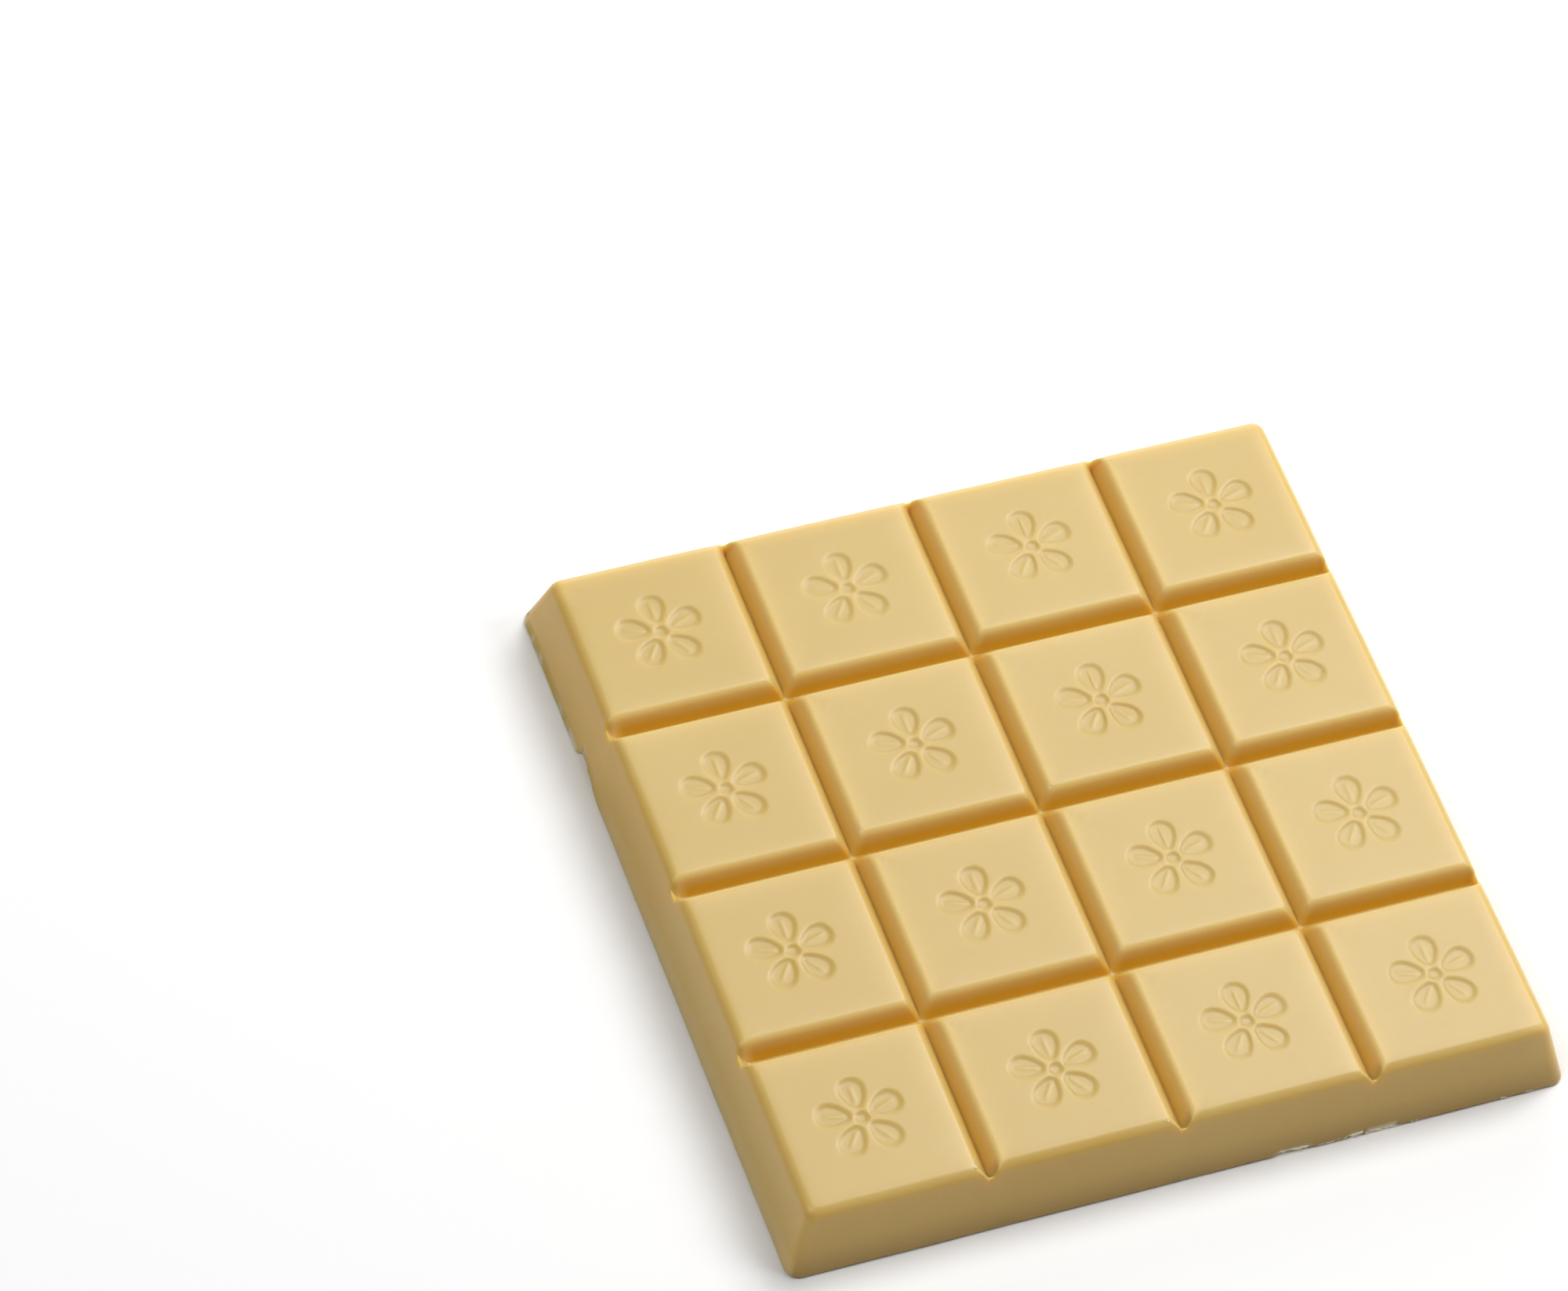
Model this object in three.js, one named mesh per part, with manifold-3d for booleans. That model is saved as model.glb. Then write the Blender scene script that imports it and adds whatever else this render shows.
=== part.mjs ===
// A moulded slab of white chocolate: four by four squares parted by V grooves, on one solid base.
// All sizes are in millimetres. +Z is up, the slab lies on z = 0 and the grooves show on top.

import * as THREE from "three";
import { mergeVertices } from "three/addons/utils/BufferGeometryUtils.js";
import Module from "manifold-3d";

// The whole slab.
const SQUARES = 4;
const PITCH = 19;
const HEIGHT = 7.4;
const TOP_HALF_X = 36.8;
const TOP_HALF_Y = 37.2;
const BASE_SPREAD = 2.1;
const TOP_EDGE_RADIUS = 1.1;
const LOWER_EDGE_RADIUS = 0.35;
const TOP_CORNER_RADIUS = 1.0;
const BASE_CORNER_RADIUS = 1.5;

// The grooves, measured from the plane of the tops.
const GROOVE_DEPTH = 1.95;
const GROOVE_HALF_WIDTH = 1.12;
const GROOVE_FLOOR_HALF_WIDTH = 0.12;
const SHOULDER_RADIUS = 0.6;
const SQUARE_CORNER_RADIUS = 0.5;

// The lip that closes both ends of each groove: how far its crest lies below the tops, and its slope.
const LIP_DEPTH = 0.8;
const LIP_SLOPE = 1.7;

// The blossom pressed into each square.
const PETALS = 5;
const PETAL_LENGTH = 3.2;
const PETAL_WIDTH = 2.3;
const PETAL_CENTRE = 2.65;
const BLOSSOM_EYE_RADIUS = 0.6;
const BLOSSOM_DEPTH = 0.25;
const BLOSSOM_WALL_SPREAD = 0.15;

// Steps of the rounded edges and corners.
const CORNER_STEPS = 3;
const EDGE_STEPS = 3;
const OUTLINE_STEPS = 8;

const CHOCOLATE_COLOUR = 0xe5caa0;

const wasm = await Module();
wasm.setup();

const lerp = THREE.MathUtils.lerp;
const draft = Math.atan2(BASE_SPREAD, HEIGHT);

// A closed solid through rings of equal length, which run anticlockwise seen from the last one.
function loft(rings) {
  const count = rings[0].length;
  const positions = rings.flat().flatMap((point) => [point.x, point.y, point.z]);
  const triangles = [];
  for (let ring = 0; ring < rings.length - 1; ring += 1) {
    for (let k = 0; k < count; k += 1) {
      const a = ring * count + k;
      const b = ring * count + ((k + 1) % count);
      triangles.push(a, b, b + count, a, b + count, a + count);
    }
  }
  const last = (rings.length - 1) * count;
  for (let k = 1; k < count - 1; k += 1) {
    triangles.push(0, k + 1, k, last, last + k, last + k + 1);
  }
  const geometry = new THREE.BufferGeometry();
  geometry.setAttribute("position", new THREE.Float32BufferAttribute(positions, 3));
  geometry.setIndex(triangles);
  return geometry;
}

function toSolid(geometry) {
  const bare = geometry.clone();
  bare.deleteAttribute("normal");
  bare.deleteAttribute("uv");
  const merged = mergeVertices(bare, 1e-4);
  const mesh = new wasm.Mesh({
    numProp: 3,
    vertProperties: new Float32Array(merged.getAttribute("position").array),
    triVerts: new Uint32Array(merged.getIndex().array),
  });
  return new wasm.Manifold(mesh);
}

function toGeometry(solid) {
  const mesh = solid.getMesh();
  const geometry = new THREE.BufferGeometry();
  geometry.setAttribute("position", new THREE.Float32BufferAttribute(mesh.vertProperties, 3));
  geometry.setIndex(Array.from(mesh.triVerts));
  geometry.computeVertexNormals();
  return geometry;
}

// A level rounded rectangle. Its corner radii are given in the order ++, -+, --, +-.
function rectangleRing(x0, x1, y0, y1, radii, z) {
  const corners = [[x1, y1], [x0, y1], [x0, y0], [x1, y0]];
  const ring = [];
  corners.forEach(([cornerX, cornerY], quarter) => {
    const radius = radii[quarter];
    const centreX = cornerX - radius * Math.sign(cornerX - (x0 + x1) / 2);
    const centreY = cornerY - radius * Math.sign(cornerY - (y0 + y1) / 2);
    for (let step = 0; step <= CORNER_STEPS; step += 1) {
      const angle = (quarter + step / CORNER_STEPS) * (Math.PI / 2);
      const x = centreX + radius * Math.cos(angle);
      const y = centreY + radius * Math.sin(angle);
      ring.push(new THREE.Vector3(x, y, z));
    }
  });
  return ring;
}

// How far the side stands out from the sharp top edge, at each height of the outer body.
// The tiny extra height lets the square tops be cut level.
function sideProfile() {
  const top = HEIGHT + 0.02;
  const profile = [];
  const lowerCentre = BASE_SPREAD - LOWER_EDGE_RADIUS * Math.tan((Math.PI / 2 + draft) / 2);
  for (let step = 0; step <= EDGE_STEPS; step += 1) {
    const angle = lerp(-Math.PI / 2, draft, step / EDGE_STEPS);
    const spread = lowerCentre + LOWER_EDGE_RADIUS * Math.cos(angle);
    profile.push([spread, LOWER_EDGE_RADIUS * (1 + Math.sin(angle))]);
  }
  const upperCentre = -TOP_EDGE_RADIUS * Math.tan((Math.PI / 2 - draft) / 2);
  for (let step = 0; step <= EDGE_STEPS; step += 1) {
    const angle = lerp(draft, Math.PI / 2, step / EDGE_STEPS);
    const spread = upperCentre + TOP_EDGE_RADIUS * Math.cos(angle);
    profile.push([spread, top - TOP_EDGE_RADIUS * (1 - Math.sin(angle))]);
  }
  return profile;
}

function outerBody() {
  const rings = sideProfile().map(([spread, z]) => {
    const x = TOP_HALF_X + spread;
    const y = TOP_HALF_Y + spread;
    const radius = lerp(BASE_CORNER_RADIUS, TOP_CORNER_RADIUS, z / HEIGHT);
    return rectangleRing(-x, x, -y, y, [radius, radius, radius, radius], z);
  });
  return toSolid(loft(rings));
}

// Half the groove's width at each height, from below its floor up to the plane of the tops.
function grooveProfile() {
  const slope = Math.atan2(GROOVE_DEPTH, GROOVE_HALF_WIDTH - GROOVE_FLOOR_HALF_WIDTH);
  const tangent = SHOULDER_RADIUS * Math.tan(slope / 2);
  const floor = HEIGHT - GROOVE_DEPTH;
  const profile = [[GROOVE_FLOOR_HALF_WIDTH, floor - 0.5], [GROOVE_FLOOR_HALF_WIDTH, floor]];
  for (let step = EDGE_STEPS; step >= 0; step -= 1) {
    const angle = (slope * step) / EDGE_STEPS;
    const halfWidth = GROOVE_HALF_WIDTH + tangent - SHOULDER_RADIUS * Math.sin(angle);
    profile.push([halfWidth, HEIGHT - SHOULDER_RADIUS * (1 - Math.cos(angle))]);
  }
  return profile;
}

// One side of a square: a groove wall, or just outside the slab's own side.
function squareSide(line, topHalf, halfWidth, z, inward) {
  const edge = SQUARES / 2;
  if (Math.abs(line) < edge) {
    return line * PITCH + inward * halfWidth;
  }
  return Math.sign(line) * (topHalf + 0.05 + BASE_SPREAD * (1 - z / HEIGHT));
}

function squareBlock(column, row) {
  const left = column - SQUARES / 2;
  const near = row - SQUARES / 2;
  const radii = [[1, 1], [0, 1], [0, 0], [1, 0]].map(([right, far]) => {
    const atCorner = Math.abs(left + right) === SQUARES / 2 && Math.abs(near + far) === SQUARES / 2;
    return atCorner ? TOP_CORNER_RADIUS / 2 : SQUARE_CORNER_RADIUS;
  });
  const rings = grooveProfile().map(([halfWidth, z]) => {
    const x0 = squareSide(left, TOP_HALF_X, halfWidth, z, 1);
    const x1 = squareSide(left + 1, TOP_HALF_X, halfWidth, z, -1);
    const y0 = squareSide(near, TOP_HALF_Y, halfWidth, z, 1);
    const y1 = squareSide(near + 1, TOP_HALF_Y, halfWidth, z, -1);
    return rectangleRing(x0, x1, y0, y1, radii, z);
  });
  return toSolid(loft(rings));
}

// Everything below the groove floors, made wider than the slab.
function baseBlock() {
  const floor = HEIGHT - GROOVE_DEPTH;
  const block = new THREE.BoxGeometry(100, 100, floor + 1);
  block.translate(0, 0, (floor - 1) / 2);
  return toSolid(block);
}

// A rim round the slab that rises from the groove floors to the lips. Its inner side slopes.
function lipRim() {
  const low = HEIGHT - GROOVE_DEPTH - 0.5;
  const crest = (-BASE_SPREAD * LIP_DEPTH) / HEIGHT;
  const hollow = [low - 0.5, HEIGHT + 0.5].map((z) => {
    const inset = crest + (HEIGHT - LIP_DEPTH - z) / LIP_SLOPE;
    const x = TOP_HALF_X - inset;
    const y = TOP_HALF_Y - inset;
    const corners = [[x, y], [-x, y], [-x, -y], [x, -y]];
    return corners.map(([cornerX, cornerY]) => new THREE.Vector3(cornerX, cornerY, z));
  });
  const rim = new THREE.BoxGeometry(100, 100, HEIGHT - low);
  rim.translate(0, 0, (HEIGHT + low) / 2);
  return toSolid(rim).subtract(toSolid(loft(hollow)));
}

// A level outline lifted through the top face, a little wider above than below.
function pressing(outline) {
  const rings = [-1, 1].map((side) => {
    const grown = side * BLOSSOM_WALL_SPREAD;
    const z = HEIGHT + side * BLOSSOM_DEPTH;
    return outline(grown).map(([x, y]) => new THREE.Vector3(x, y, z));
  });
  return toSolid(loft(rings));
}

function petalOutline(centreX, centreY, turn) {
  return (grown) => {
    const points = [];
    for (let k = 0; k < OUTLINE_STEPS; k += 1) {
      const angle = (2 * Math.PI * (k + 0.5)) / OUTLINE_STEPS;
      const along = PETAL_CENTRE + (PETAL_LENGTH / 2 + grown) * Math.cos(angle);
      const swell = 1 + 0.3 * Math.cos(angle);
      const across = (PETAL_WIDTH / 2 + grown) * swell * Math.sin(angle);
      const x = centreX + along * Math.cos(turn) - across * Math.sin(turn);
      const y = centreY + along * Math.sin(turn) + across * Math.cos(turn);
      points.push([x, y]);
    }
    return points;
  };
}

function eyeOutline(centreX, centreY) {
  return (grown) => {
    const points = [];
    for (let k = 0; k < OUTLINE_STEPS; k += 1) {
      const angle = (2 * Math.PI * k) / OUTLINE_STEPS;
      const radius = BLOSSOM_EYE_RADIUS + grown;
      points.push([centreX + radius * Math.cos(angle), centreY + radius * Math.sin(angle)]);
    }
    return points;
  };
}

function blossomPressings(column, row) {
  const centreX = (column + 0.5 - SQUARES / 2) * PITCH;
  const centreY = (row + 0.5 - SQUARES / 2) * PITCH;
  const pressings = [pressing(eyeOutline(centreX, centreY))];
  for (let petal = 0; petal < PETALS; petal += 1) {
    const turn = Math.PI / 2 + (2 * Math.PI * petal) / PETALS;
    pressings.push(pressing(petalOutline(centreX, centreY, turn)));
  }
  return pressings;
}

// A small piece broken from the left lower edge: a short step that tapers out towards the front.
function leftChip() {
  const side = -(TOP_HALF_X + BASE_SPREAD);
  const plan = [[-1.1, 22.6], [-1.1, 15.6], [0.15, 16.6], [0.55, 19.6], [0.85, 21.5]];
  const rings = [[-0.4, 0], [2.1, -0.75]].map(([z, shift]) =>
    plan.map(([x, y]) => new THREE.Vector3(side + x + shift, y, z)),
  );
  return toSolid(loft(rings));
}

// A thin splinter lost along the front lower edge, given as its length and height at each station.
function frontSplinter() {
  const side = -(TOP_HALF_Y + BASE_SPREAD);
  const stations = [[9.3, 0.05], [10.3, 0.62], [12.4, 0.4], [15, 0.22], [17.2, 0.5], [18.4, 0.25], [21.3, 0.05]];
  const rings = stations.map(([x, height]) => [
    new THREE.Vector3(x, side - 0.6, -0.5),
    new THREE.Vector3(x, side + 0.55 + height, -0.5),
    new THREE.Vector3(x, side - 0.6, height + 0.5),
  ]);
  return toSolid(loft(rings));
}

function chocolateSlab() {
  let kept = baseBlock().add(lipRim());
  const pressings = [];
  for (let column = 0; column < SQUARES; column += 1) {
    for (let row = 0; row < SQUARES; row += 1) {
      kept = kept.add(squareBlock(column, row));
      pressings.push(...blossomPressings(column, row));
    }
  }
  let slab = outerBody().intersect(kept);
  for (const cut of [...pressings, leftChip(), frontSplinter()]) {
    slab = slab.subtract(cut);
  }
  const material = new THREE.MeshStandardMaterial({
    color: CHOCOLATE_COLOUR,
    roughness: 0.45,
    metalness: 0,
  });
  const mesh = new THREE.Mesh(toGeometry(slab), material);
  mesh.name = "slab";
  return mesh;
}

const bar = new THREE.Group();
bar.add(chocolateSlab());

export default bar;
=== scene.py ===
"""A moulded slab of white chocolate in sixteen squares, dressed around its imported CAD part.

The slab is one closed skin. It starts as a flat grid whose lines are packed where the form turns,
every point of it is then put in its place, and its rim is folded down and under.
Sizes in the properties are metres. The working functions below count in millimetres.
"""

import math
import random

import bmesh
import bpy
import numpy as np
from mathutils import Matrix, Vector, noise


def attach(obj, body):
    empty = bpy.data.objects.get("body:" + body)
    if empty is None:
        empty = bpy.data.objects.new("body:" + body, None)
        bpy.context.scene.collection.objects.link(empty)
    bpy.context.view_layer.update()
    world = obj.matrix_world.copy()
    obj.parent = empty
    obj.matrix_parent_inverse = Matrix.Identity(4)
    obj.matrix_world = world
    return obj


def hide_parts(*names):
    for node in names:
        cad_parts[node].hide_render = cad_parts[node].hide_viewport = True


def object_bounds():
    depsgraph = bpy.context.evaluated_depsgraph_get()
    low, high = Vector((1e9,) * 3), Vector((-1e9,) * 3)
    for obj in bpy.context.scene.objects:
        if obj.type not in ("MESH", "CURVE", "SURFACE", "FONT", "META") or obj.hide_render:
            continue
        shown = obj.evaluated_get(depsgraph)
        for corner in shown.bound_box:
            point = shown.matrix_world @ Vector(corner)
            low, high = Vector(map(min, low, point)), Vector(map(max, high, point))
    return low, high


bl_info = {
    "name": "Chocolate slab",
    "version": (1, 0, 0),
    "blender": (4, 5, 0),
    "location": "3D View > Sidebar > Chocolate",
    "description": "Makes a moulded chocolate slab in squares, with its finish and a plain studio",
    "category": "Add Mesh",
}

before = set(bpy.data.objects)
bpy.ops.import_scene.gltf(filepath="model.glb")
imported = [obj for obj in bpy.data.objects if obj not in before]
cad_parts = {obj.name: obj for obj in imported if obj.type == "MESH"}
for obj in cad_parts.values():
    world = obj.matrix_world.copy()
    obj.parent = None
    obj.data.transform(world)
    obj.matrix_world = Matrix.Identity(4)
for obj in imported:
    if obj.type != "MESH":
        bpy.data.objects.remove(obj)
CAD_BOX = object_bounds()

MM = 0.001
# Vertex layers that the material reads: painted warm shade, painted glow and highlight, painted shade, and the
# pale of breaks together with some painted light.
LIGHT_SHADE_AND_BREAK_LAYERS = ("warmth", "lit_through", "shade", "fresh_break")
CRUMB_SEED = 11
CRUMB_ROUGHNESS = 0.35
PIMPLE_ROUGHNESS = 0.08
FLOOR_HALF = 1.5
FLOOR_GAP = 0.00002

# The photograph's view of the slab: the camera's place in metres, its axes and its lens.
CAMERA_PLACE = (-0.202106, -0.349860, 0.568387)
CAMERA_RIGHT = (0.93967158, -0.33032716, 0.08888922)
CAMERA_UP = (0.21766555, 0.77783644, 0.58956949)
CAMERA_BACK = (-0.26389209, -0.53465358, 0.80281163)
CAMERA_LENS = 168.246
CAMERA_SENSOR = 36.0

# Where each soft light hangs: azimuth and elevation in degrees, distance and width in metres.
LIGHT_PLACES = {
    "key": (60, 50, 1.1, 0.5),
    "side": (110, 45, 1.1, 0.5),
    "fill": (-90, 60, 1.1, 0.5),
    "back": (35, 60, 1.1, 0.5),
    "low": (20, 22, 0.4, 0.3),
}


# ---------------------------------------------------------------- properties


def length(name, description, millimetres):
    return bpy.props.FloatProperty(
        name=name,
        description=description,
        default=millimetres * MM,
        min=0.0,
        subtype="DISTANCE",
        unit="LENGTH",
    )


def colour(name, description, default):
    return bpy.props.FloatVectorProperty(
        name=name,
        description=description,
        default=default,
        size=3,
        min=0.0,
        max=1.0,
        subtype="COLOR",
    )


def number(name, description, default, low=0.0, high=1.0):
    return bpy.props.FloatProperty(name=name, description=description, default=default, min=low, max=high)


class SlabSizes(bpy.types.PropertyGroup):
    """Sizes of the slab, its grooves and its blossoms."""

    squares: bpy.props.IntProperty(name="Squares", description="Squares along each side", default=4, min=2)
    pitch: length("Pitch", "Distance between the middles of two neighbouring squares", 19.0)
    height: length("Height", "From the underside to the tops", 7.4)
    top_half_x: length("Top half width", "Middle to the sharp top edge, along X", 36.8)
    top_half_y: length("Top half depth", "Middle to the sharp top edge, along Y", 37.2)
    base_spread: length("Base spread", "How far the sides lean out from top to base", 2.09)
    top_edge: length("Top edge radius", "Rounding between the tops and the sides", 1.1)
    lower_edge: length("Lower edge radius", "Rounding between the sides and the underside", 0.35)
    top_corner: length("Top corner radius", "Rounding of the slab's corners at the top, from above", 1.0)
    base_corner: length("Base corner radius", "Rounding of the slab's corners at the base, from above", 1.5)
    groove_depth: length("Groove depth", "From the tops to the groove floor", 1.95)
    groove_half: length("Groove half width", "Groove centre to its wall, in the plane of the tops", 1.12)
    groove_floor: length("Groove floor half width", "Half the width of the groove's narrow floor", 0.12)
    square_corner: length("Square corner radius", "Rounding of a square's corners, seen from above", 0.45)
    blossom_depth: length("Blossom depth", "How deep the blossoms are pressed in", 0.13)
    petal_length: length("Petal length", "Length of one petal", 3.2)
    petal_width: length("Petal width", "Width of one petal", 2.3)
    petal_centre: length("Petal centre", "From the blossom's middle to a petal's middle", 2.65)
    blossom_eye: length("Blossom eye radius", "Radius of the round eye", 0.6)


class ChocolateFinish(bpy.types.PropertyGroup):
    """Colours and gloss of the chocolate, with the colours of its painted light and shade."""

    body: colour("Body", "Main ivory colour", (0.633, 0.461, 0.154))
    # Deep is painted warm shade: the warm colour that the shaded grooves and sides take on.
    deep: colour("Deep", "Warmer colour down in the grooves", (0.68, 0.395, 0.035))
    # Lit is painted light: glow through the squares' edges and rims, and the painted highlight beside the
    # grooves.
    lit: colour("Lit", "Brighter colour where light shines through the squares' edges", (0.83, 0.615, 0.24))
    # Foot is painted shade: darker colour at the foot of the front and back sides and at the grooves' front
    # ends.
    foot: colour("Foot", "Darker colour at the foot of the sides", (0.42, 0.262, 0.072))
    # Pale is the colour of broken chocolate, and is also laid on as painted light on the left side's lower
    # part and beside the grooves.
    pale: colour("Pale", "Paler colour of freshly broken chocolate", (0.95, 0.86, 0.64))
    gloss: number("Roughness", "Mean roughness of the moulded surface", 0.34)
    glow: length("Glow depth", "How far light travels inside the chocolate", 1.6)


class StudioLight(bpy.types.PropertyGroup):
    """The floor and the strength of the lights."""

    floor: colour("Floor", "Colour of the plain floor", (0.99, 0.99, 0.99))
    key: number("Key", "Power of the main light behind and to the right, in watts", 4.85, 0.0, 1000.0)
    side: number("Side", "Power of the light on the right, in watts", 3.1, 0.0, 1000.0)
    fill: number("Fill", "Power of the light on the left, in watts", 3.9, 0.0, 1000.0)
    back: number("Back", "Power of the high light behind the slab, in watts", 3.2, 0.0, 1000.0)
    low: number("Low", "Power of the near, low light behind the slab, in watts", 0.5, 0.0, 1000.0)
    sky: number("Sky", "Strength of the even light all round", 0.0, 0.0, 10.0)


# ---------------------------------------------------------------- form of the slab


def smooth_min(a, b, width):
    """The lower of two heights, with the crease between them eased over this width."""
    near = max(width - abs(a - b), 0.0) / width
    return min(a, b) - near * near * width / 4


def round_max(a, b, radius):
    """The higher of two values, with the corner between them rounded to this radius."""
    apart = abs(a - b)
    if apart >= radius:
        return max(a, b)
    return radius + (a + b - math.sqrt(2 * radius * radius - apart * apart)) / 2


def ease(value):
    """Zero below zero, one above one and an S-shaped rise between them."""
    value = min(max(value, 0.0), 1.0)
    return value * value * (3 - 2 * value)


def bell(value, centre, half):
    """One at the centre, falling softly to nothing at half either side."""
    return ease(1 - abs(value - centre) / half)


class SlabForm:
    """Turns a point of the flat grid into its place on the slab. Everything is in millimetres."""

    # The grid: the band near the rim where corners are rounded, and how finely each part is divided.
    CORNER_ZONE = 4.0
    TOP_STEPS = 8
    SIDE_STEPS = 11
    LOWER_STEPS = 5
    BLOSSOM_HALF = 4.7
    BLOSSOM_CELLS = 9
    BLOSSOM_CUTS = 5
    BESIDE_GROOVE = (
        0, 0.07, 0.12, 0.17, 0.25, 0.37, 0.5, 0.64, 0.78,
        0.92, 1.06, 1.2, 1.34, 1.5, 1.7, 2.0, 2.6, 3.7,
    )
    INSIDE_RIM = (1.5, 1.9, 2.5, 3.2)
    FRONT_CHIP_LINES = (9.3, 9.7, 10.3, 11.1, 12.0, 12.6, 16.5, 16.9, 17.4, 18.1)
    LEFT_CHIP_LINES = (21.35, 21.7, 21.85, 22.0, 22.3)

    # The grooves: how widely their edges are eased, how their ends rise and narrow toward the rim,
    # and how much narrower those that run along Y are.
    SHOULDER_EASE = 0.7
    FLOOR_EASE = 0.12
    EXIT_DEPTH = 0.8
    EXIT_SLOPE = 1.4
    EXIT_FLARE = 0.1
    LEAST_DEPTH = 0.2
    NARROWING = 0.7
    ROW_NARROWING = 0.35
    COLUMN_INSET = 0.12

    # The tops and sides: falls of a square's top toward its edges, and unevenness.
    EDGE_FALL = 0.05
    EDGE_FALL_WIDTH = 1.9
    SQUARE_FALL = 0.012
    TOP_WOBBLE = 0.012
    TOP_RIPPLE = 0.004
    SIDE_WOBBLE = 0.035
    SIDE_RIPPLE = 0.012

    # The blossoms: width of the pressed walls, and how far a vein stands up in its petal.
    PRESSED_WALL = 0.5
    PETALS = 5
    VEIN = 0.38

    # The broken places of the front lower edge: where each starts and ends along X, and how deep it is.
    FRONT_CHIPS = ((9.2, 12.8, 0.26), (16.4, 18.2, 0.18), (18.2, 21.6, 0.1))

    # The painted light and shade: how strongly each painted warm shade, glow, highlight and shade shows, and
    # how far it reaches.
    SIDE_WARMTH = 0.36
    FAR_LEFT_WARMTH = 0.26
    COLUMN_WARMTH = 0.62
    WARM_FROM_DEPTH = 1.3
    GLOW_FADE = 0.36
    RIM_GLOW = 0.28
    FAR_RIM_GLOW = 0.45
    LEFT_BACK_GLOW = 0.85
    SHEEN = 0.4
    SHEEN_PALE = 0.1
    SHEEN_FADE = 0.95
    LOW_SHADE = 0.6
    CONTACT_SHADE = 0.4
    GROOVE_END_SHADE = 0.6

    def __init__(self, sizes):
        for name in sizes.__annotations__:
            value = getattr(sizes, name)
            setattr(self, name, value if isinstance(value, int) else value / MM)
        self.inner_x = self.top_half_x - self.CORNER_ZONE
        self.inner_y = self.top_half_y - self.CORNER_ZONE
        self.draft = math.atan2(self.base_spread, self.height)
        self.top_start = -self.top_edge * math.tan((math.pi / 2 - self.draft) / 2)
        self.lower_centre = self.base_spread - self.lower_edge * math.tan((math.pi / 2 + self.draft) / 2)
        self.side_stations = self.side_profile()
        self.under_stations = self.under_profile()
        self.wall_slope = self.groove_depth / (self.groove_half - self.groove_floor)
        half = self.squares // 2
        self.groove_lines = [self.pitch * line for line in range(1 - half, half)]

    def side_profile(self):
        """(spread from the sharp top edge, height) from the tops down to the widest outline."""
        stations = []
        for step in range(self.TOP_STEPS + 1):
            angle = math.pi / 2 + (self.draft - math.pi / 2) * step / self.TOP_STEPS
            spread = self.top_start + self.top_edge * math.cos(angle)
            stations.append((spread, self.height - self.top_edge * (1 - math.sin(angle))))
        first = Vector(stations[-1])
        last = Vector((
            self.lower_centre + self.lower_edge * math.cos(self.draft),
            self.lower_edge * (1 + math.sin(self.draft)),
        ))
        for step in range(1, self.SIDE_STEPS + 1):
            stations.append(tuple(first.lerp(last, step / self.SIDE_STEPS)))
        stations.append((self.lower_centre + self.lower_edge, self.lower_edge))
        return stations

    def under_profile(self):
        """(spread, height) of the rings that go round the lower edge and in under the slab."""
        rings = []
        for step in range(1, self.LOWER_STEPS + 1):
            angle = -math.pi / 2 * step / self.LOWER_STEPS
            spread = self.lower_centre + self.lower_edge * math.cos(angle)
            rings.append((spread, self.lower_edge * (1 + math.sin(angle))))
        rings.append((self.lower_centre - 0.6, 0.0))
        rings.append((self.lower_centre - 3.0, 0.0))
        return rings

    def grid_lines(self, top_half, chip_lines):
        """Where the flat grid has its lines along one axis, packed at grooves, blossoms and sides."""
        lines = set()
        for groove in self.groove_lines:
            for offset in self.BESIDE_GROOVE:
                lines.update({groove + offset, groove - offset})
        for square in range(self.squares):
            middle = (square + 0.5 - self.squares / 2) * self.pitch
            for cell in range(self.BLOSSOM_CELLS + 1):
                lines.add(middle + self.BLOSSOM_HALF * (2 * cell / self.BLOSSOM_CELLS - 1))
        for spread, _ in self.side_stations:
            lines.update({top_half + spread, -top_half - spread})
        lines.update(chip_lines)
        for inset in self.INSIDE_RIM:
            lines.update({top_half - inset, inset - top_half})
        return sorted(lines)

    def outer_height(self, ring):
        """Height of the outer body where the ring of the grid stands."""
        spread = ring - self.CORNER_ZONE
        if spread <= self.top_start:
            return self.height
        spreads = [station[0] for station in self.side_stations]
        heights = [station[1] for station in self.side_stations]
        return float(np.interp(spread, spreads, heights))

    def corner_radius(self, ring):
        """Rounding of the slab's corner, seen from above, where the ring of the grid stands."""
        rings = [0.0, self.CORNER_ZONE + self.top_start, self.CORNER_ZONE, self.CORNER_ZONE + self.base_spread]
        return float(np.interp(ring, rings, [0.0, 0.35, self.top_corner, self.base_corner]))

    def plan(self, x, y, ring_below):
        """The plan place, the ring and the outward direction of a grid point."""
        beyond_x = abs(x) - self.inner_x
        beyond_y = abs(y) - self.inner_y
        ring = max(beyond_x, beyond_y)
        scale = 1.0
        if ring_below:
            new_ring = self.CORNER_ZONE + self.under_stations[ring_below - 1][0]
            scale = new_ring / ring
            ring = new_ring
        if beyond_x > 0 and beyond_y > 0:
            share = min(beyond_x, beyond_y) / max(beyond_x, beyond_y)
            radius = self.corner_radius(ring)
            straight = ring - radius
            run = share * (straight + radius * math.pi / 4)
            if run <= straight:
                far, side = ring, run
                out_far, out_side = 1.0, 0.0
            else:
                angle = (run - straight) / radius
                far = straight + radius * math.cos(angle)
                side = straight + radius * math.sin(angle)
                out_far, out_side = math.cos(angle), math.sin(angle)
            if beyond_x < beyond_y:
                far, side, out_far, out_side = side, far, out_side, out_far
            place = (self.inner_x + far, self.inner_y + side)
            out = (out_far, out_side)
        elif beyond_x >= beyond_y:
            place = (self.inner_x + beyond_x * scale, abs(y))
            out = (1.0, 0.0)
        else:
            place = (abs(x), self.inner_y + beyond_y * scale)
            out = (0.0, 1.0)
        signs = (math.copysign(1, x), math.copysign(1, y))
        return place[0] * signs[0], place[1] * signs[1], ring, out[0] * signs[0], out[1] * signs[1]

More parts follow.
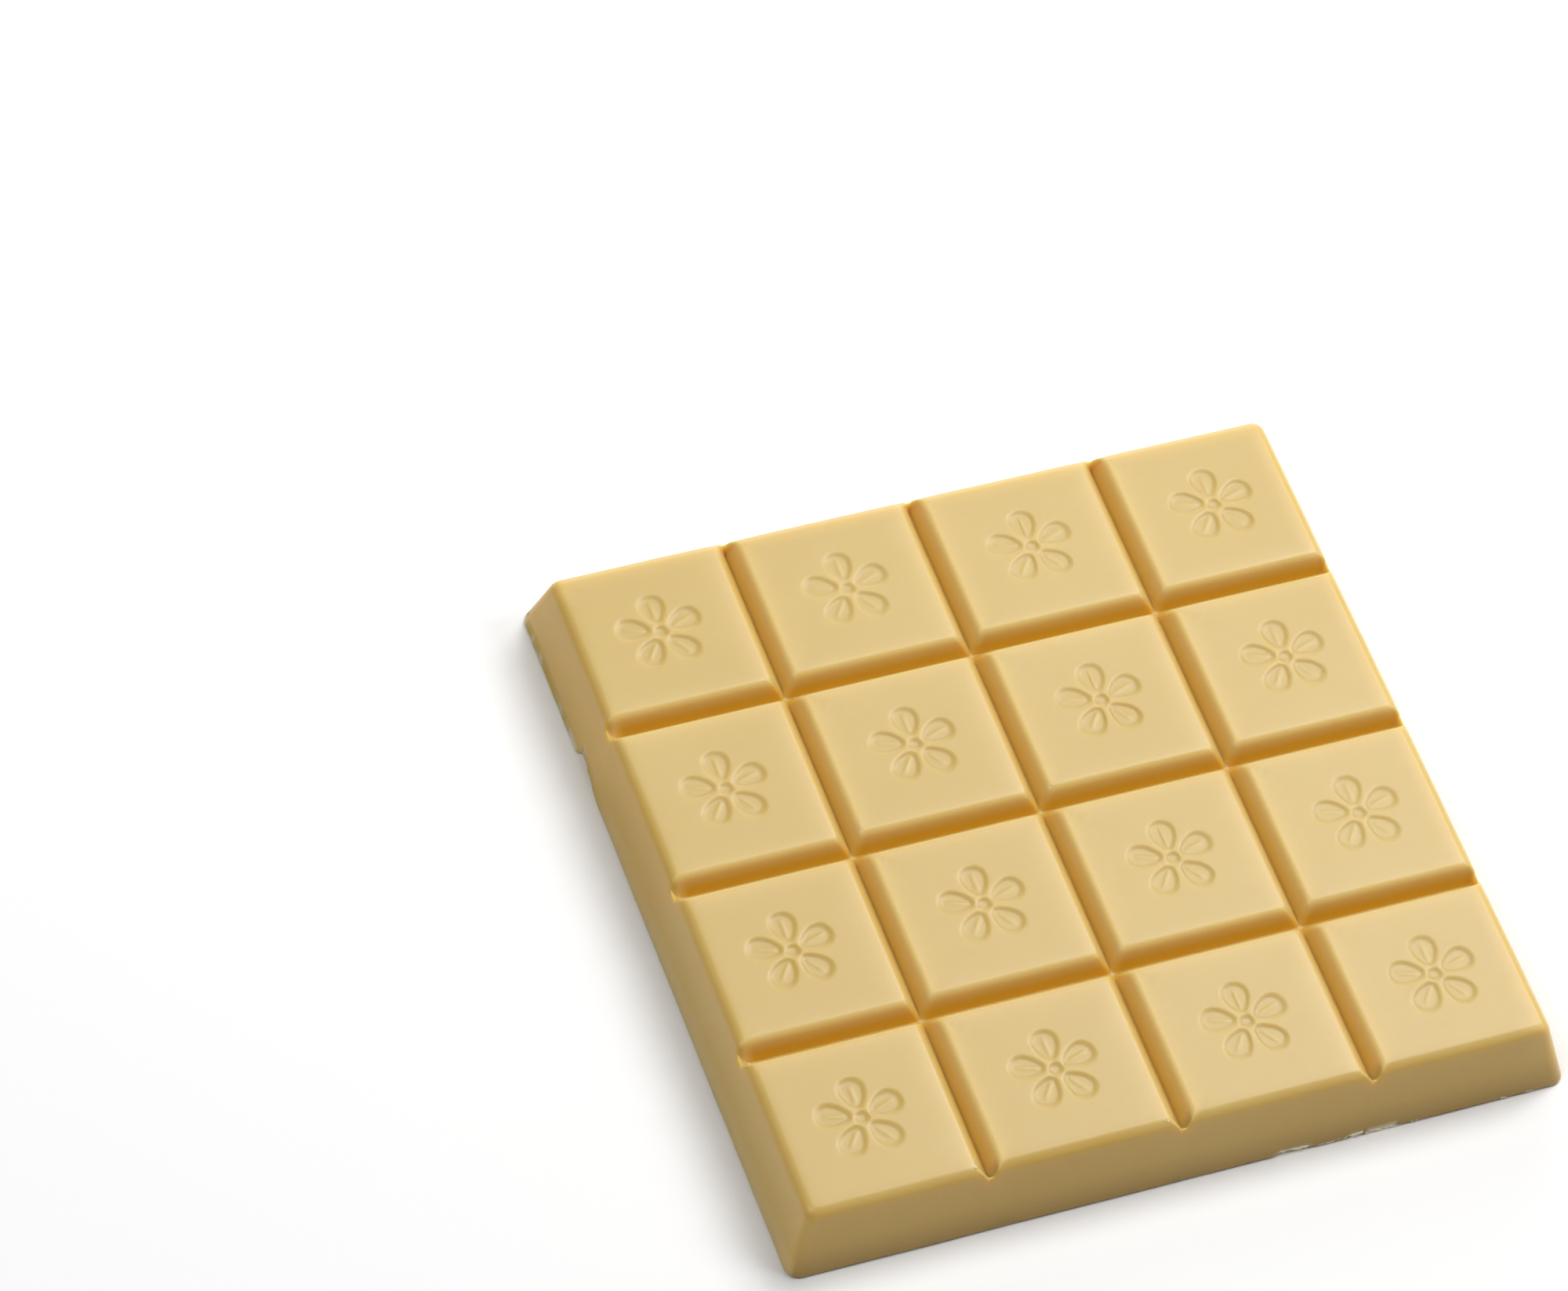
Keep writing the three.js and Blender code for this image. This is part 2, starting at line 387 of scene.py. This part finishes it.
    def groove_sink(self, x, y):
        """How far below the tops the grooves lie at a place, and how far inside a groove it is."""
        near_x = min(abs(x - line) for line in self.groove_lines)
        near_y = min(abs(y - line) for line in self.groove_lines)
        inside_x = self.top_half_x - abs(x)
        inside_y = self.top_half_y - abs(y)
        column = self.groove_half - self.COLUMN_INSET - near_x + self.exit_flare(inside_y, near_x)
        row = self.groove_half - near_y + self.exit_flare(inside_x, near_y)
        column -= self.narrowing(inside_y)
        row -= self.narrowing(inside_x) * self.ROW_NARROWING
        reach = round_max(column, row, self.square_corner)
        rounded = -smooth_min(0.0, -self.wall_slope * reach, self.SHOULDER_EASE)
        return smooth_min(rounded, self.floor_depth(min(inside_x, inside_y)), self.FLOOR_EASE), reach

    def floor_depth(self, inside):
        """Depth of a groove's floor, which rises where the groove leaves the slab."""
        rise = self.EXIT_DEPTH + self.EXIT_SLOPE * (inside + 0.25)
        return max(smooth_min(self.groove_depth, rise, 0.6), self.LEAST_DEPTH)

    def narrowing(self, inside):
        """How much narrower a groove is where its floor rises."""
        return self.NARROWING * (self.groove_depth - self.floor_depth(inside)) / self.wall_slope

    def exit_flare(self, inside, near):
        """How much wider a groove is where it leaves the slab between two rounded corners."""
        if near > 3:
            return 0.0
        return self.EXIT_FLARE * ease(1 - (inside + 0.6) / 1.5)

    def blossom_sink(self, x, y):
        """How deep the pressed blossom is at a place measured from its middle."""
        depth = self.press(math.hypot(x, y) - self.blossom_eye)
        for petal in range(self.PETALS):
            turn = math.pi / 2 + 2 * math.pi * petal / self.PETALS
            along = x * math.cos(turn) + y * math.sin(turn)
            across = y * math.cos(turn) - x * math.sin(turn)
            if along < 0.4:
                continue
            reach = (along - self.petal_centre) / (self.petal_length / 2)
            swell = self.petal_width / 2 * (1 + 0.3 * max(min(reach, 1.3), -1.3))
            round_off = math.hypot(reach, across / swell)
            outside = (round_off - 1) * min(self.petal_length, self.petal_width * 1.1) / 2
            vein = self.VEIN * ease(1 - abs(across) / 0.3)
            vein *= ease((0.75 - reach) / 0.5) * ease((reach + 0.9) / 0.4)
            depth = max(depth, self.press(outside) * (1 - vein))
        return depth * self.blossom_depth

    def press(self, outside):
        """Zero well outside a pressed shape's outline, one well inside it."""
        return ease(0.5 - outside / self.PRESSED_WALL)

    def square_place(self, x, y):
        """A place measured from the middle of the square that it is in."""
        half = self.squares / 2
        column = min(max(math.floor(x / self.pitch + half), 0), self.squares - 1)
        row = min(max(math.floor(y / self.pitch + half), 0), self.squares - 1)
        return x - (column + 0.5 - half) * self.pitch, y - (row + 0.5 - half) * self.pitch

    def chip(self, x, y, z, out_x, out_y):
        """How far the lower edge is broken in, and how pale it looks: paler where freshly broken, and on the
        left side also painted light.
        """
        if out_x < -0.7:
            return self.left_chip(y, z)
        if out_y < -0.7:
            return self.front_chip(x, z)
        return 0.0, 0.0

    @staticmethod
    def left_chip(y, z):
        """The left lower edge: a slope that deepens to a step, behind it a thin lip of flash, and in front of
        it painted light that pales the lower part of the side.
        """
        rough = noise.noise(Vector((y * 1.3, z * 1.7, 3.1)))
        depth = 0.0
        # Painted light: the lower part of the left side is paled to lighten it.
        paleness = 0.22 * ease((2.6 - z) / 2.2) * ease((17.0 - y) / 5.0)
        if y > 16.2:
            step = 0.5 * ease((y - 15.4) / 5.5) * ease((22.0 - y) / 0.3)
            low = ease((2.3 - z) / 1.6)
            depth = step * low * (1 + 0.35 * rough)
            paleness = max(paleness, 0.45 * ease(step * low / 0.3) * ease((y - 20.6) / 0.8))
        if y > 21.6:
            lip = ease((y - 21.7) / 0.6) * ease((1.6 - z) / 0.9) * ease((z - 0.28) / 0.25)
            depth = max(depth, 0.24 * lip * (1 + 0.5 * rough))
            wide = 0.38 + 0.3 * rough + 0.5 * bell(y, 23.4, 1.9)
            paleness = max(paleness, 0.8 * ease((wide - z) / 0.25) * ease((y - 21.9) / 0.5))
        return depth, paleness

    def front_chip(self, x, z):
        """The front lower edge: small shallow breaks."""
        rough = noise.noise(Vector((x * 1.1, z * 1.5, 7.7)))
        depth, paleness = 0.0, 0.0
        for start, end, bite in self.FRONT_CHIPS:
            inside = ease((x - start) / 0.5) * ease((end - x) / 0.5)
            low = ease((0.72 - z) / 0.3)
            depth = max(depth, bite * inside * low * (1 + 0.6 * rough))
            paleness = max(paleness, 0.9 * inside * low)
        return depth, paleness

    def placed(self, x, y, ring_below):
        """The place of a grid point, and the shares of painted shade, painted light and paleness that its
        material reads there.
        """
        flat_x, flat_y, ring, out_x, out_y = self.plan(x, y, ring_below)
        wobble = noise.noise(Vector((flat_x * 0.11, flat_y * 0.11, 0.4)))
        ripple = noise.noise(Vector((flat_x * 0.45, flat_y * 0.45, 5.0)))
        if ring_below:
            z = self.under_stations[ring_below - 1][1]
            sink, reach, groove_share = 0.0, -self.pitch, 0.0
        else:
            outer = self.outer_height(ring)
            sink, reach = self.groove_sink(flat_x, flat_y)
            grooved = self.height - sink
            groove_share = min(max((outer - grooved) / 0.4, 0.0), 1.0)
            z = smooth_min(outer, grooved, min(0.8, 0.6 * sink) + 1e-6) - self.crown(flat_x, flat_y)
            square_x, square_y = self.square_place(flat_x, flat_y)
            if math.hypot(square_x, square_y) < self.BLOSSOM_HALF + 0.1:
                z -= self.blossom_sink(square_x, square_y)
            z -= self.TOP_WOBBLE * (1 + wobble) + self.TOP_RIPPLE * (1 + ripple)
        inward, paleness = 0.0, 0.0
        if ring > self.CORNER_ZONE:
            inward, paleness = self.chip(flat_x, flat_y, z, out_x, out_y)
        if ring > 1.0:
            share = min((ring - 1.0) / 4.0, 1.0)
            inward += share * (self.SIDE_WOBBLE * (1 + wobble) + self.SIDE_RIPPLE * (1 + ripple))
        flat_x -= out_x * inward
        flat_y -= out_y * inward
        looks = {
            "warmth": self.warmth(sink, groove_share, ring, flat_x, flat_y, out_x, out_y),
            "lit_through": self.lit_through(reach, ring, flat_x, flat_y, out_x, out_y),
            "shade": self.shade(z, ring, sink, flat_x, flat_y, out_y),
            # Painted highlight: a little of the pale colour along the highlight beside each groove.
            "fresh_break": max(paleness, self.SHEEN_PALE * self.sheen(reach, ring, flat_x, flat_y)),
        }
        return (flat_x, flat_y, z), looks

    def warmth(self, sink, groove_share, ring, x, y, out_x, out_y):
        """How much painted warm shade a place carries: full down in the grooves, less by the column grooves,
        and a little on the sides, least on the right and back sides that face the light.
        """
        spread = ring - self.CORNER_ZONE
        along_row = self.along_row(x, y)
        deep = min(max(sink, 0.0) / self.WARM_FROM_DEPTH, 1.0) ** (1.9 - 0.8 * along_row)
        full = self.COLUMN_WARMTH + (1 - self.COLUMN_WARMTH) * along_row
        in_groove = full * groove_share * deep * ease((0.9 * self.far_rim(x, y) - 0.3 - spread) / 1.1)
        far_left = self.FAR_LEFT_WARMTH * self.turned(-out_x) * ease((y + 3.0) / 9.0)
        on_side = (self.SIDE_WARMTH + far_left) * ease((spread + 0.8) / 1.4)
        on_side *= 1 - 0.8 * self.turned(max(out_x, out_y))
        return max(in_groove, on_side)

    @staticmethod
    def turned(share):
        """One where a surface clearly faces a way, when it does so by this share."""
        return ease(share * 2 - 0.8)

    def along_row(self, x, y):
        """One beside the grooves that run along X, zero beside the others."""
        square_x, square_y = self.square_place(x, y)
        return ease((abs(square_y) - abs(square_x)) / 1.6 + 0.5)

    def across_groove(self, x, y):
        """Where a place lies in its square, measured across the nearest groove."""
        square_x, square_y = self.square_place(x, y)
        along_row = self.along_row(x, y)
        return along_row * square_y + (1 - along_row) * square_x

    def lit_through(self, reach, ring, x, y, out_x, out_y):
        """How much painted glow a place carries: light through a square's edge in the grooves, along the rims,
        by the right and back edges and on the back part of the left side, and the painted highlight beside
        each groove.
        """
        spread = ring - self.CORNER_ZONE
        fade = self.GLOW_FADE * (2.3 - 1.3 * self.along_row(x, y))
        in_groove = math.exp(min(reach, 0.0) / fade) * ease(-spread / 0.8)
        in_groove *= ease(0.5 - self.across_groove(x, y))
        turned_away = ease(max(-out_x, -out_y) * 1.5 - 0.5) * max(ease(-reach / 0.3), ease(spread / 0.4))
        at_rim = self.RIM_GLOW * turned_away * ease((spread + 0.65) / 0.7) * ease((1.5 - spread) / 1.3)
        left_back = self.LEFT_BACK_GLOW * self.turned(-out_x) * ease((y - 13.0) / 6.0) * ease(spread / 0.8)
        far = self.FAR_RIM_GLOW * self.far_rim(x, y) * ease((spread + 2.4) / 2.2) * ease(1.5 - spread)
        return max(in_groove, at_rim, left_back, far, self.SHEEN * self.sheen(reach, ring, x, y))

    @staticmethod
    def far_rim(x, y):
        """One by the right and back edges, which the light reaches first."""
        return ease((max(x, y) - 33.0) / 2.5)

    def sheen(self, reach, ring, x, y):
        """How strong the painted highlight is that runs beside the near edge of each groove."""
        beside = ease(self.across_groove(x, y) - 0.5) * math.exp(min(reach, 0.0) / self.SHEEN_FADE)
        return beside * ease((-0.15 - reach) / 0.4) * ease((self.CORNER_ZONE - ring) / 0.6)

    def shade(self, z, ring, sink, x, y, out_y):
        """How much painted shade darkens the foot of the front and back sides and the grooves' front ends."""
        spread = ring - self.CORNER_ZONE
        low = self.LOW_SHADE * ease((3.8 - z) / 3.4) + self.CONTACT_SHADE * ease((0.5 - z) / 0.4)
        foot = low * self.turned(abs(out_y)) * ease(spread / 0.1)
        groove_end = self.GROOVE_END_SHADE * ease((sink - 0.1) / 0.35)
        groove_end *= ease((spread + 1.5) / 1.2) * ease((0.35 - spread) / 0.4)
        groove_end *= (1 - self.far_rim(x, y)) * (1 - self.along_row(x, y))
        return max(foot, groove_end)

    def crown(self, x, y):
        """How much lower a square's top is near its edges than at its middle."""
        lower = 0.0
        for across in self.square_place(x, y):
            edge = self.pitch / 2 - self.groove_half - abs(across)
            falling = min(max(1 - edge / self.EDGE_FALL_WIDTH, 0.0), 1.0)
            lower += self.EDGE_FALL * falling ** 2 + self.SQUARE_FALL * (across / 9.5) ** 4
        return lower


def open_edges(bm):
    """The edges with a face on one side only."""
    return [edge for edge in bm.edges if len(edge.link_faces) == 1]


def slab_mesh(sizes):
    """The whole skin as a bmesh in metres, with the layers of painted light, shade and paleness that its
    material reads.
    """
    form = SlabForm(sizes)
    lines_x = form.grid_lines(form.top_half_x, form.FRONT_CHIP_LINES)
    lines_y = form.grid_lines(form.top_half_y, form.LEFT_CHIP_LINES)
    cells_x, cells_y = len(lines_x) - 1, len(lines_y) - 1
    bm = bmesh.new()
    bmesh.ops.create_grid(bm, x_segments=cells_x, y_segments=cells_y, size=1.0)
    for vert in bm.verts:
        column = round((vert.co.x + 1) / 2 * cells_x)
        row = round((vert.co.y + 1) / 2 * cells_y)
        vert.co = (lines_x[column], lines_y[row], 0.0)
    refine_blossoms(bm, form)
    for ring in range(1, len(form.under_stations) + 1):
        made = bmesh.ops.extrude_edge_only(bm, edges=open_edges(bm))["geom"]
        for vert in made:
            if isinstance(vert, bmesh.types.BMVert):
                vert.co.z = -ring
    bmesh.ops.contextual_create(bm, geom=open_edges(bm))
    for name in LIGHT_SHADE_AND_BREAK_LAYERS:
        bm.verts.layers.float.new(name)
    layers = bm.verts.layers.float
    for vert in bm.verts:
        place, looks = form.placed(vert.co.x, vert.co.y, round(-vert.co.z))
        vert.co = Vector(place) * MM
        for name, value in looks.items():
            vert[layers[name]] = value
    bmesh.ops.recalc_face_normals(bm, faces=bm.faces)
    return bm


def refine_blossoms(bm, form):
    """Cuts the grid finer where the blossoms are pressed in."""
    inner = []
    for face in bm.faces:
        middle = face.calc_center_median()
        square_x, square_y = form.square_place(middle.x, middle.y)
        within = max(abs(square_x), abs(square_y)) < form.BLOSSOM_HALF
        if within and math.hypot(square_x, square_y) < form.BLOSSOM_HALF + 0.5:
            inner.append(face)
    edges = list({edge for face in inner for edge in face.edges})
    bmesh.ops.subdivide_edges(bm, edges=edges, cuts=form.BLOSSOM_CUTS, use_grid_fill=True)


# ---------------------------------------------------------------- crumbs and flash along the edges

# Each row of crumbs: its two ends, their size along, across and up, how many, and how far they scatter.
# All in millimetres, on the lower edges of the slab.
CRUMB_ROWS = (
    ((-38.60, 22.50, 0.12), (-38.60, 24.80, 0.20), (0.34, 0.17, 0.17), 11, 0.07),
    ((-38.68, 24.60, 0.14), (-38.68, 37.00, 0.10), (0.42, 0.09, 0.09), 30, 0.03),
    ((-38.15, 21.70, 0.25), (-37.92, 21.30, 0.32), (0.20, 0.16, 0.14), 3, 0.08),
    ((-38.62, 16.00, 0.08), (-38.62, 11.00, 0.08), (0.16, 0.07, 0.07), 7, 0.05),
    ((-38.68, 8.00, 0.07), (-38.68, -30.00, 0.07), (0.14, 0.06, 0.06), 16, 0.05),
    ((9.60, -38.95, 0.54), (12.60, -39.01, 0.46), (0.34, 0.10, 0.08), 10, 0.05),
    ((12.80, -39.05, 0.26), (16.50, -39.04, 0.32), (0.20, 0.10, 0.08), 15, 0.07),
    ((16.40, -39.01, 0.38), (18.30, -39.02, 0.42), (0.26, 0.14, 0.15), 7, 0.10),
    ((18.40, -39.04, 0.26), (21.60, -39.06, 0.20), (0.26, 0.10, 0.08), 13, 0.06),
    ((22.80, -39.05, 0.26), (23.90, -39.05, 0.24), (0.22, 0.10, 0.09), 4, 0.06),
    ((32.00, -39.03, 0.26), (32.60, -39.03, 0.26), (0.22, 0.12, 0.12), 3, 0.06),
    ((34.60, -39.03, 0.24), (35.10, -39.02, 0.28), (0.22, 0.11, 0.10), 3, 0.06),
    ((-35.90, -38.91, 0.46), (-35.20, -38.95, 0.42), (0.26, 0.09, 0.08), 3, 0.05),
    ((-37.70, -38.31, 0.18), (-37.50, -38.41, 0.16), (0.16, 0.11, 0.10), 2, 0.03),
)
# Tiny pimples on the tops and at the corners of some squares: place and radius.
PIMPLES = (
    (-20.3, -36.5, 0.12),
    (-1.5, -36.7, 0.10),
    (1.4, 1.6, 0.09),
    (-17.6, 1.8, 0.08),
    (-36.4, -19.8, 0.09),
)


def crumbs_mesh(sizes):
    """Small rough lumps clinging to the slab, joined in one mesh, in metres."""
    form = SlabForm(sizes)
    bm = bmesh.new()
    draw = random.Random(CRUMB_SEED)
    for start, end, size, count, scatter in CRUMB_ROWS:
        start, end = Vector(start), Vector(end)
        turn = math.atan2(end.y - start.y, end.x - start.x)
        for index in range(count):
            place = start.lerp(end, (index + draw.uniform(0.1, 0.9)) / count)
            place += Vector([draw.uniform(-scatter, scatter) * share for share in (1.0, 1.0, 0.6)])
            grown = [value * draw.uniform(0.6, 1.25) for value in size]
            swing = turn + draw.uniform(-0.5, 0.5)
            add_lump(bm, place, grown, swing, CRUMB_ROUGHNESS, draw.uniform(0, 100))
    for x, y, radius in PIMPLES:
        place, _ = form.placed(x, y, 0)
        add_lump(bm, Vector(place), [radius, radius, radius * 0.8], 0.0, PIMPLE_ROUGHNESS, x)
    clearance = 0.005
    inside = [(low / MM + clearance, high / MM - clearance) for low, high in zip(*CAD_BOX)]
    paleness = bm.verts.layers.float.new("fresh_break")
    for vert in bm.verts:
        vert.co = Vector([min(max(value, low), high) for value, (low, high) in zip(vert.co, inside)]) * MM
        vert[paleness] = 1.0
    return bm


def add_lump(bm, place, size, turn, roughness, seed):
    """One rough rounded lump, longest along its first direction."""
    made = bmesh.ops.create_icosphere(bm, subdivisions=2, radius=1.0)["verts"]
    for vert in made:
        vert.co *= 1 + roughness * noise.noise(vert.co * 1.4 + Vector((seed, seed * 0.3, 0)))
    bmesh.ops.scale(bm, verts=made, vec=size)
    bmesh.ops.rotate(bm, verts=made, cent=(0, 0, 0), matrix=Matrix.Rotation(turn, 3, "Z"))
    bmesh.ops.translate(bm, verts=made, vec=place)


def finished_object(bm, name, material):
    """A smooth-shaded object of this mesh, standing at the origin."""
    mesh = bpy.data.meshes.new(name)
    bm.to_mesh(mesh)
    bm.free()
    mesh.materials.append(material)
    mesh.shade_smooth()
    piece = bpy.data.objects.new(name, mesh)
    bpy.context.scene.collection.objects.link(piece)
    return piece


# ---------------------------------------------------------------- materials


class Wire:
    """A socket of a material. An expression on it adds Math nodes."""

    def __init__(self, shader, socket):
        self.shader = shader
        self.socket = socket

    def math(self, operation, *values):
        return self.shader.add("ShaderNodeMath", {"operation": operation}, dict(enumerate(values)))

    def __add__(self, other):
        return self.math("ADD", self, other)

    def __radd__(self, other):
        return self.math("ADD", other, self)

    def __sub__(self, other):
        return self.math("SUBTRACT", self, other)

    def __rsub__(self, other):
        return self.math("SUBTRACT", other, self)

    def __mul__(self, other):
        return self.math("MULTIPLY", self, other)

    def __rmul__(self, other):
        return self.math("MULTIPLY", other, self)


class Shader:
    """A node material while it is put together."""

    def __init__(self, name):
        self.material = bpy.data.materials.new(name)
        self.material.use_nodes = True
        self.tree = self.material.node_tree
        self.tree.nodes.clear()

    def add(self, kind, settings=None, sockets=None, output=0):
        """Adds a node, sets it up, fills or links its sockets and gives back one output."""
        node = self.tree.nodes.new(kind)
        for name, value in (settings or {}).items():
            if name == "stops":
                self.set_stops(node.color_ramp, value)
            else:
                setattr(node, name, value)
        for name, value in (sockets or {}).items():
            if isinstance(value, Wire):
                self.tree.links.new(value.socket, node.inputs[name])
            else:
                node.inputs[name].default_value = value
        return Wire(self, node.outputs[output]) if node.outputs else None

    @staticmethod
    def set_stops(ramp, stops):
        """Gives a colour ramp these stops, each a position and a colour."""
        while len(ramp.elements) > 1:
            ramp.elements.remove(ramp.elements[-1])
        for index, (position, tint) in enumerate(stops):
            stop = ramp.elements[0] if index == 0 else ramp.elements.new(position)
            stop.position = position
            stop.color = (*tint, 1.0)

    def mix(self, share, first, second):
        """Two colours mixed by a share."""
        settings = {"data_type": "RGBA", "clamp_factor": True}
        colours = [value if isinstance(value, Wire) else (*value, 1.0) for value in (first, second)]
        return self.add("ShaderNodeMix", settings, {0: share, 6: colours[0], 7: colours[1]}, 2)

    def noise(self, place, scale, detail=2.0, roughness=0.5):
        """A noise value that varies over the piece."""
        sockets = {"Vector": place, "Scale": scale, "Detail": detail, "Roughness": roughness}
        return self.add("ShaderNodeTexNoise", None, sockets, "Fac")

    def ramp(self, value, stops):
        """A colour looked up by a value."""
        return self.add("ShaderNodeValToRGB", {"stops": stops}, {"Fac": value})


def chocolate_material(finish):
    """Ivory chocolate: satin and slightly cloudy, paler where it broke, with painted warm shade in the grooves
    and on the sides, painted glow and highlights by the edges, and painted shade at the foot of the sides.
    """
    shader = Shader("white_chocolate")
    place = shader.add("ShaderNodeTexCoord", None, None, "Object")
    warmth, lit, shade, paleness = (
        shader.add("ShaderNodeAttribute", {"attribute_name": name}, None, "Fac") for name in LIGHT_SHADE_AND_BREAK_LAYERS
    )
    clouds = shader.noise(place, 45.0, 3.0, 0.55)
    grain = shader.noise(place, 900.0, 3.0, 0.6)
    creamier = tuple(value * ratio for value, ratio in zip(finish.body, (1.03, 1.045, 1.12)))
    warmer = tuple(value * ratio for value, ratio in zip(finish.body, (0.975, 0.955, 0.88)))
    cloudy = shader.ramp(clouds, [(0.3, warmer), (0.7, creamier)])
    speckled = shader.mix((grain - 0.5) * 0.35, cloudy, creamier)
    # Painted light and shade on the base colour: glow and highlight, warm shade, shade at the foot, then the
    # pale of breaks, which also carries some painted light.
    shining = shader.mix(lit, speckled, tuple(finish.lit))
    # Painted warm shade in the grooves and on the sides.
    shaded_warm = shader.mix(warmth, shining, tuple(finish.deep))
    shaded = shader.mix(shade, shaded_warm, tuple(finish.foot))
    coloured = shader.mix(paleness, shaded, tuple(finish.pale))
    ripple = shader.noise(place, 160.0, 2.0, 0.5)
    height = grain * 0.35 + ripple * 0.9 + paleness * shader.noise(place, 2600.0, 2.0, 0.6) * 3.0
    bump = shader.add("ShaderNodeBump", None, {"Strength": 0.22, "Distance": 0.00006, "Height": height})
    roughness = (clouds - 0.5) * 0.14 + (grain - 0.5) * 0.1 + paleness * 0.25 + finish.gloss
    solid = {"Base Color": coloured, "Roughness": roughness, "Normal": bump, "IOR": 1.45}
    glowing = {
        **solid,
        "Specular IOR Level": 0.5,
        "Subsurface Weight": 1.0,
        "Subsurface Radius": (1.0, 0.75, 0.3),
        "Subsurface Scale": finish.glow,
    }
    moulded = shader.add("ShaderNodeBsdfPrincipled", {"subsurface_method": "RANDOM_WALK"}, glowing)
    broken = shader.add("ShaderNodeBsdfPrincipled", None, solid)
    surface = shader.add("ShaderNodeMixShader", None, {"Fac": (paleness - 0.3) * 1.6, 1: moulded, 2: broken})
    shader.add("ShaderNodeOutputMaterial", None, {"Surface": surface})
    return shader.material


def floor_material(studio):
    """A plain matt floor with the faintest unevenness."""
    shader = Shader("studio_floor")
    place = shader.add("ShaderNodeTexCoord", None, None, "Object")
    tone = shader.noise(place, 3.0, 1.0)
    white = shader.mix(tone * 0.05, tuple(studio.floor), (1.0, 1.0, 1.0))
    sockets = {"Base Color": white, "Roughness": 0.9, "Specular IOR Level": 0.0}
    surface = shader.add("ShaderNodeBsdfPrincipled", None, sockets)
    shader.add("ShaderNodeOutputMaterial", None, {"Surface": surface})
    return shader.material


# ---------------------------------------------------------------- operators


class CHOCOLATE_OT_slab(bpy.types.Operator):
    """Makes the slab in its squares, which stands for the CAD solid"""

    bl_idname = "chocolate.slab"
    bl_label = "Slab"

    def execute(self, context):
        scene = context.scene
        material = chocolate_material(scene.chocolate_finish)
        piece = finished_object(slab_mesh(scene.slab_sizes), "chocolate_slab", material)
        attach(piece, "root")
        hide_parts("slab")
        return {"FINISHED"}


class CHOCOLATE_OT_crumbs(bpy.types.Operator):
    """Adds the small crumbs and the thin flash that cling to the slab's edges"""

    bl_idname = "chocolate.crumbs"
    bl_label = "Edge crumbs"

    def execute(self, context):
        material = bpy.data.materials["white_chocolate"]
        piece = finished_object(crumbs_mesh(context.scene.slab_sizes), "edge_crumbs", material)
        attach(piece, "root")
        return {"FINISHED"}


class CHOCOLATE_OT_stage(bpy.types.Operator):
    """Lays the floor, hangs the lights and sets the camera"""

    bl_idname = "chocolate.stage"
    bl_label = "Stage"

    def execute(self, context):
        studio = context.scene.studio_light
        bm = bmesh.new()
        bmesh.ops.create_grid(bm, x_segments=1, y_segments=1, size=FLOOR_HALF)
        bmesh.ops.translate(bm, verts=bm.verts, vec=(0, 0, -FLOOR_GAP))
        floor = finished_object(bm, "floor", floor_material(studio))
        for name, (azimuth, elevation, distance, size) in LIGHT_PLACES.items():
            area_light(f"{name}_light", azimuth, elevation, distance, size, getattr(studio, name))
        sky_light(studio.sky)
        photograph_camera()
        return {"FINISHED"}


def area_light(name, azimuth, elevation, distance, size, power):
    """A round soft light that faces the slab. Its azimuth turns from +Y towards +X, in degrees."""
    around, above = math.radians(azimuth), math.radians(elevation)
    level = math.cos(above)
    place = Vector((math.sin(around) * level, math.cos(around) * level, math.sin(above))) * distance
    data = bpy.data.lights.new(name, "AREA")
    data.shape = "DISK"
    data.size = size
    data.energy = power
    light = bpy.data.objects.new(name, data)
    bpy.context.scene.collection.objects.link(light)
    light.location = place
    light.rotation_euler = (-place).to_track_quat("-Z", "Y").to_euler()
    light.visible_camera = False


def sky_light(strength):
    """The even light from all round."""
    world = bpy.data.worlds.new("studio_sky")
    bpy.context.scene.world = world
    world.use_nodes = True
    sockets = world.node_tree.nodes["Background"].inputs
    sockets["Color"].default_value = (1, 1, 1, 1)
    sockets["Strength"].default_value = strength


def photograph_camera():
    """Stands the camera where the photograph was taken from."""
    data = bpy.data.cameras.new("camera")
    data.lens = CAMERA_LENS
    data.sensor_width = CAMERA_SENSOR
    data.sensor_fit = "HORIZONTAL"
    data.clip_start, data.clip_end = 0.01, 10.0
    camera = bpy.data.objects.new("camera", data)
    bpy.context.scene.collection.objects.link(camera)
    axes = Matrix((CAMERA_RIGHT, CAMERA_UP, CAMERA_BACK)).transposed()
    camera.matrix_world = Matrix.Translation(CAMERA_PLACE) @ axes.to_4x4()
    bpy.context.scene.camera = camera
    bpy.context.scene.view_settings.view_transform = "Standard"


class CHOCOLATE_PT_panel(bpy.types.Panel):
    """Lists the pieces and their sizes"""

    bl_idname = "CHOCOLATE_PT_panel"
    bl_label = "Chocolate slab"
    bl_space_type = "VIEW_3D"
    bl_region_type = "UI"
    bl_category = "Chocolate"

    def draw(self, context):
        for operator in OPERATORS:
            self.layout.operator(operator.bl_idname)
        for group in (context.scene.slab_sizes, context.scene.chocolate_finish, context.scene.studio_light):
            box = self.layout.box()
            for name in group.__annotations__:
                box.prop(group, name)


OPERATORS = (CHOCOLATE_OT_slab, CHOCOLATE_OT_crumbs, CHOCOLATE_OT_stage)
CLASSES = (SlabSizes, ChocolateFinish, StudioLight, *OPERATORS, CHOCOLATE_PT_panel)


def register():
    for kind in CLASSES:
        bpy.utils.register_class(kind)
    bpy.types.Scene.slab_sizes = bpy.props.PointerProperty(type=SlabSizes)
    bpy.types.Scene.chocolate_finish = bpy.props.PointerProperty(type=ChocolateFinish)
    bpy.types.Scene.studio_light = bpy.props.PointerProperty(type=StudioLight)


def unregister():
    del bpy.types.Scene.slab_sizes
    del bpy.types.Scene.chocolate_finish
    del bpy.types.Scene.studio_light
    for kind in reversed(CLASSES):
        bpy.utils.unregister_class(kind)


def main():
    register()
    bpy.ops.chocolate.slab()
    bpy.ops.chocolate.crumbs()
    bpy.ops.chocolate.stage()


if __name__ == "__main__":
    main()
